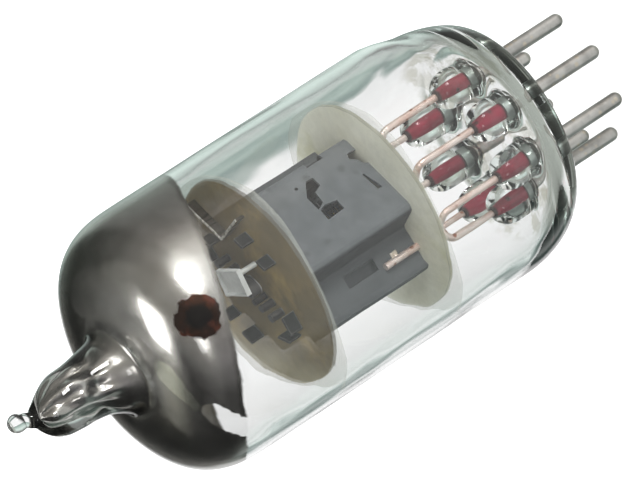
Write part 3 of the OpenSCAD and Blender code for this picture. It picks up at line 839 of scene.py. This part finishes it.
# %% Dress the anode
WALL_Y_RISE = (1.45 * MM, 1.7 * MM)
WALL_Y_FALL = (3.85 * MM, 4.05 * MM)
POCKET_X = (3.65, 4.4)
POCKET_Z = (15.5, 18.1)
POCKET_END_FADE = (15.6 * MM, 16.1 * MM)
EAR_EDGE_RISE = (22.5 * MM, 22.6 * MM)
material, tree, shader = new_material("anode_sheet")
at = place(tree)
x, y, z = axes(tree, at)
grain = use(tree, CLOUDS, at, Scale=2600.0, Low=0.3, High=0.7)
rubbed_and_highlit_edge = rounded(tree, shader, 0.07, grain)
wide = use(tree, CLOUDS, at, Scale=160.0, Low=0.35, High=0.68)
small = use(tree, CLOUDS, at, Scale=700.0, Low=0.38, High=0.66)
tone = blend(tree, wide, (0.124, 0.131, 0.137, 1), (0.170, 0.179, 0.187, 1))
tone = blend(tree, times(tree, small, 0.35), tone, (0.205, 0.213, 0.220, 1))
specks = use(tree, SPECKS, at, Scale=1300.0, Share=0.1)
tone = blend(tree, times(tree, specks, 0.45), tone, (0.07, 0.072, 0.075, 1))
# The rounded edges and bends are paler: partly rubbed metal, partly a painted highlight
tone = blend(tree, times(tree, rubbed_and_highlit_edge, 0.6), tone, (0.40, 0.41, 0.42, 1))
out_y = number(tree, "ABSOLUTE", y)
# Painted shade: a little on the flanges, more on the side walls, none on the crown
wall = times(tree, ramp(tree, out_y, *WALL_Y_RISE, 0.4, 0.78), ramp(tree, out_y, *WALL_Y_FALL, 1.0, 0.0))
tone = blend(tree, wall, tone, (0.03, 0.031, 0.033, 1))
# Painted shade in the pressed pocket, and a painted shadow at its lower end
pocket_shade = times(tree, between(tree, number(tree, "ABSOLUTE", x), *POCKET_X), between(tree, z, *POCKET_Z))
tone = blend(tree, times(tree, pocket_shade, 0.62), tone, (0.02, 0.02, 0.022, 1))
pocket_end_shadow = times(tree, pocket_shade, ramp(tree, z, *POCKET_END_FADE, 0.9, 0.0))
tone = blend(tree, pocket_end_shadow, tone, (0.012, 0.012, 0.013, 1))
tone = blend(tree, use(tree, SMOKE, at), tone, (0.014, 0.013, 0.011, 1))
# A painted highlight along the edges of the smoked ears
ear_edge_highlight = times(tree, rubbed_and_highlit_edge, ramp(tree, z, *EAR_EDGE_RISE, 0.0, 0.7))
tone = blend(tree, ear_edge_highlight, tone, (0.34, 0.33, 0.30, 1))
feed(tree, shader, {
    "Base Color": tone, "Roughness": times_plus(tree, small, -0.12, 0.72), "Specular IOR Level": 0.15})
dress("anode_sheet", material, "anode_front", "anode_rear")
print("anode material ready")

# %% [markdown]
# ## Mica
#
# A spacer is a clear flake of mica with a sprayed coat of magnesia that stops short of the rim, so
# its four corners stay clear. The upper one also caught some of the getter's brown metal smoke,
# least towards the back. Alpha lets what lies behind show through the thin coat, which costs no
# extra refraction.

# %% Dress the two spacers
COAT_R = 7.68
CLEAR_MICA = (0.78, 0.78, 0.70, 1)
CLEAN_FADE = (4.0 * MM, 7.0 * MM)


def mica(name, pale, deep, stain, cover, stained):
    material, tree, shader = new_material(name)
    at = place(tree)
    x, y, z = axes(tree, at)
    away = number(tree, "SQRT", times_plus(tree, x, x, times(tree, y, y)))
    wander = times_plus(tree, use(tree, CLOUDS, at, Scale=420.0), 0.1 * MM, away)
    coat = ramp(tree, wander, COAT_R * MM, (COAT_R + 0.12) * MM, 1.0, 0.0)
    tone = blend(tree, use(tree, CLOUDS, at, Scale=130.0, Low=0.3, High=0.7), pale, deep)
    smoke = use(tree, CLOUDS, at, Scale=210.0, Low=0.5, High=0.72)
    tone = blend(tree, times(tree, smoke, stained), tone, stain)
    tone = blend(tree, coat, CLEAR_MICA, tone)
    fine = use(tree, CLOUDS, at, Scale=1500.0)
    hold = times_plus(tree, fine, 0.08, cover - 0.04)
    feed(tree, shader, {
        "Base Color": tone,
        "Alpha": times_plus(tree, coat, number(tree, "SUBTRACT", hold, 0.2), 0.2),
        "Roughness": ramp(tree, coat, 0.0, 1.0, 0.12, 0.6),
        "Normal": bump(tree, fine, 0.12, 0.02)})
    return material, tree, shader, tone


coated, tree, shader, tone = mica(
    "lower_mica", pale=(0.90, 0.88, 0.77, 1), deep=(0.78, 0.75, 0.60, 1), stain=(0.60, 0.58, 0.34, 1),
    cover=0.90, stained=0.6)
dress("mica", coated, "lower_mica")
smoked, tree, shader, tone = mica(
    "upper_mica", pale=(0.27, 0.20, 0.085, 1), deep=(0.14, 0.10, 0.04, 1), stain=(0.46, 0.32, 0.10, 1),
    cover=0.74, stained=0.9)
x, y, z = axes(tree, place(tree))
across = times_plus(tree, x, -0.5, times(tree, y, 0.87))
clean = ramp(tree, across, *CLEAN_FADE, 0.0, 0.85)
cleaner = blend(tree, clean, tone, (0.43, 0.37, 0.23, 1))
feed(tree, shader, {"Base Color": cleaner, "Specular IOR Level": 0.25})
dress("mica", smoked, "upper_mica")
print("mica materials ready")

# %% [markdown]
# ## Wires, seals and pins
#
# Every wire here is drawn metal, so each has fine lines along it. What differs is the finish: bare
# pinkish copper inside the bulb, copper that turned dark red where it is sealed in the glass, and
# dull grey nickel alloy outside with the beige specks of old solder flux.

# %% Dress the drawn metal
ALONG_Z = (1.0, 1.0, 0.06)
ALONG_X = (0.06, 1.0, 1.0)
PALE_LINE = (0.75, 0.75, 0.75, 1)


def drawn_metal(name, dark, light, speck, share, roughness, metallic=1.0, along=ALONG_Z, line=PALE_LINE):
    material, tree, shader = new_material(name)
    at = place(tree)
    lines = use(tree, DRAWN, at, Stretch=along)
    tone = blend(tree, use(tree, CLOUDS, at, Scale=600.0), dark, light)
    tone = blend(tree, times(tree, lines, 0.25), tone, line)
    tone = blend(tree, use(tree, SPECKS, at, Scale=2200.0, Share=share), tone, speck)
    feed(tree, shader, {
        "Base Color": tone, "Roughness": times_plus(tree, lines, 0.15, roughness - 0.07),
        "Metallic": metallic, "Normal": bump(tree, lines, 0.25, 0.01)})
    return material, tree, shader, tone


def smoked_metal(name, **finish):
    material, tree, shader, tone = drawn_metal(name, **finish)
    smoke = use(tree, SMOKE, place(tree))
    feed(tree, shader, {"Base Color": blend(tree, smoke, tone, (0.05, 0.045, 0.04, 1))})
    return material


leads = drawn_metal(
    "lead_metal", dark=(0.78, 0.54, 0.46, 1), light=(0.95, 0.80, 0.73, 1), speck=(0.40, 0.16, 0.10, 1),
    share=0.2, roughness=0.34, metallic=0.6)[0]
dress("lead_metal", leads, *numbered("lead"))
# The grid wires are painted very dark: partly their own dark finish, partly painted shade inside the anode
grids = smoked_metal(
    "grid_wire", dark=(0.05, 0.052, 0.05, 1), light=(0.11, 0.113, 0.11, 1), speck=(0.03, 0.03, 0.03, 1),
    share=0.2, roughness=0.4, metallic=0.5)
dress("grid_wire", grids, "suppressor_grid", "screen_grid")
golden = smoked_metal(
    "control_wire", dark=(0.20, 0.15, 0.08, 1), light=(0.34, 0.26, 0.14, 1), speck=(0.10, 0.07, 0.04, 1),
    share=0.2, roughness=0.35)
dress("control_wire", golden, "control_grid")
bright = drawn_metal(
    "getter_metal", dark=(0.74, 0.74, 0.72, 1), light=(0.92, 0.92, 0.90, 1), speck=(0.30, 0.29, 0.27, 1),
    share=0.06, roughness=0.5, metallic=0.05, along=ALONG_X)[0]
dress("getter_metal", bright, "getter_pan", "getter_post")
print("drawn metals ready")

# %% [markdown]
# A pin is dark where it enters the glass, partly with oxide and partly with painted shade, and pale
# green-grey deeper in. The strap's sides are dark with smoke, and a painted highlight brightens its
# top edge. A sealed wire is darkest at both ends, where its copper is burnt.

# %% Dress the pins, the strap and the sealed wires
PIN_IN_GLASS = (-0.25 * MM, 0.1 * MM)
PIN_DEEP_IN_GLASS = (1.1 * MM, 1.5 * MM)
STRAP_TOP = (23.1 * MM, 23.17 * MM)
pins, tree, shader, tone = drawn_metal(
    "pin_metal", dark=(0.40, 0.385, 0.365, 1), light=(0.62, 0.60, 0.57, 1), speck=(0.66, 0.60, 0.51, 1),
    share=0.3, roughness=0.36, metallic=0.85)
height = axes(tree, place(tree))["Z"]
# Dark where the pin enters the glass: partly oxide, partly painted shade
tone = blend(tree, ramp(tree, height, *PIN_IN_GLASS), tone, (0.05, 0.052, 0.045, 1))
tone = blend(tree, ramp(tree, height, *PIN_DEEP_IN_GLASS), tone, (0.48, 0.53, 0.50, 1))
feed(tree, shader, {"Base Color": tone})
dress("pin_metal", pins, *numbered("pin"))

strap, tree, shader, tone = drawn_metal(
    "getter_strap", dark=(0.70, 0.68, 0.62, 1), light=(0.92, 0.90, 0.84, 1), speck=(0.30, 0.28, 0.22, 1),
    share=0.1, roughness=0.3, metallic=0.6)
# A painted highlight along the strap's top edge
top_edge_highlight = ramp(tree, axes(tree, place(tree))["Z"], *STRAP_TOP)
feed(tree, shader, {"Base Color": blend(tree, top_edge_highlight, (0.05, 0.042, 0.03, 1), tone)})
dress("getter_metal", strap, "getter_strap")

low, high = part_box("seal_wire_1")
seals, tree, shader, tone = drawn_metal(
    "seal_metal", dark=(0.17, 0.003, 0.018, 1), light=(0.30, 0.008, 0.038, 1), speck=(0.06, 0.01, 0.012, 1),
    share=0.12, roughness=0.45, metallic=0.1, line=(0.55, 0.03, 0.08, 1))
height = axes(tree, place(tree))["Z"]
low_end = ramp(tree, height, low.z, low.z + 0.25 * MM)
high_end = ramp(tree, height, high.z - 0.5 * MM, high.z - 0.2 * MM, 1.0, 0.0)
red = blend(tree, times(tree, low_end, high_end), (0.035, 0.012, 0.014, 1), tone)
feed(tree, shader, {"Base Color": red, "Specular IOR Level": 0.2})
dress("seal_metal", seals, *numbered("seal_wire"))
print("a sealed wire runs from", round(low.z / MM, 2), "to", round(high.z / MM, 2), "mm")

# %% [markdown]
# ## The weld tab on the anode
#
# A small ear of the flange is folded over beside the anode's lead, where the welder's electrode
# pressed it. It is a thin bent plate, so it is drawn as a short grid of points with a dip in the
# middle, given its thickness along the flange's outward direction.

# %% Make the weld tab
TAB_MIDDLE = Vector((-4.16, -0.91, 14.0))
TAB_OUT = Vector((-0.53, -0.85, 0)).normalized()
TAB_ACROSS = Vector((-0.85, 0.53, 0)).normalized()
TAB_HALF_WIDTH = 0.24
TAB_HALF_HEIGHT = 0.27
TAB_T = 0.14
TAB_DIP = 0.07
TAB_ROWS = 17


def tab_point(u, v, level):
    across = TAB_HALF_WIDTH * u
    up = TAB_HALF_HEIGHT * v
    dip = TAB_DIP * math.exp(-((across / 0.12) ** 2 + (up / 0.12) ** 2))
    edge = 0.05 * step(max(abs(u), abs(v)), 0.75, 1.0)
    lift = level * (TAB_T - dip - edge)
    return (TAB_MIDDLE + TAB_ACROSS * across * (1 - 0.2 * up) + Vector((0, 0, up)) + TAB_OUT * lift) * MM


steps = np.linspace(-1, 1, TAB_ROWS)
tab_verts = [tab_point(u, v, level) for level in (0, 1) for u in steps for v in steps]
layer = TAB_ROWS * TAB_ROWS
tab_faces = []
for start in (0, layer):
    for i in range(TAB_ROWS - 1):
        for j in range(TAB_ROWS - 1):
            a = start + i * TAB_ROWS + j
            tab_faces.append([a, a + 1, a + TAB_ROWS + 1, a + TAB_ROWS])
last = TAB_ROWS - 1
rim = [i * TAB_ROWS for i in range(last)] + [last * TAB_ROWS + j for j in range(last)]
rim += [i * TAB_ROWS + last for i in range(last, 0, -1)] + list(range(last, 0, -1))
tab_faces += [[a, b, b + layer, a + layer] for a, b in zip(rim, rim[1:] + rim[:1])]
tab = new_object("weld_tab", tab_verts, tab_faces)
print("weld tab open edges:", mend(tab))
tab_metal = drawn_metal(
    "weld_tab", dark=(0.62, 0.52, 0.42, 1), light=(0.86, 0.76, 0.64, 1), speck=(0.36, 0.18, 0.10, 1),
    share=0.15, roughness=0.4, metallic=0.4)[0]
tab.data.materials.append(tab_metal)

# %% [markdown]
# ## The sprayed coats
#
# The cathode's sleeve carries a sprayed white oxide and the heater a white alumina. Both are matt
# and grainy, and are seen only through the windows and at the ends.


# %% Dress the coated pieces
def sprayed_coat(name, dark, light):
    material, tree, shader = new_material(name)
    at = place(tree)
    grain = use(tree, CLOUDS, at, Scale=2400.0)
    tone = blend(tree, grain, dark, light)
    tone = blend(tree, use(tree, SMOKE, at), tone, (0.06, 0.055, 0.05, 1))
    feed(tree, shader, {"Base Color": tone, "Roughness": 0.85, "Normal": bump(tree, grain, 0.4, 0.03)})
    return material


oxide = sprayed_coat("cathode_coat", (0.433, 0.42, 0.407, 1), (0.632, 0.62, 0.608, 1))
dress("cathode_coat", oxide, "cathode_sleeve")
alumina = sprayed_coat("heater_coat", (0.515, 0.5, 0.485, 1), (0.714, 0.7, 0.686, 1))
dress("heater_coat", alumina, "heater")
print("coats ready")
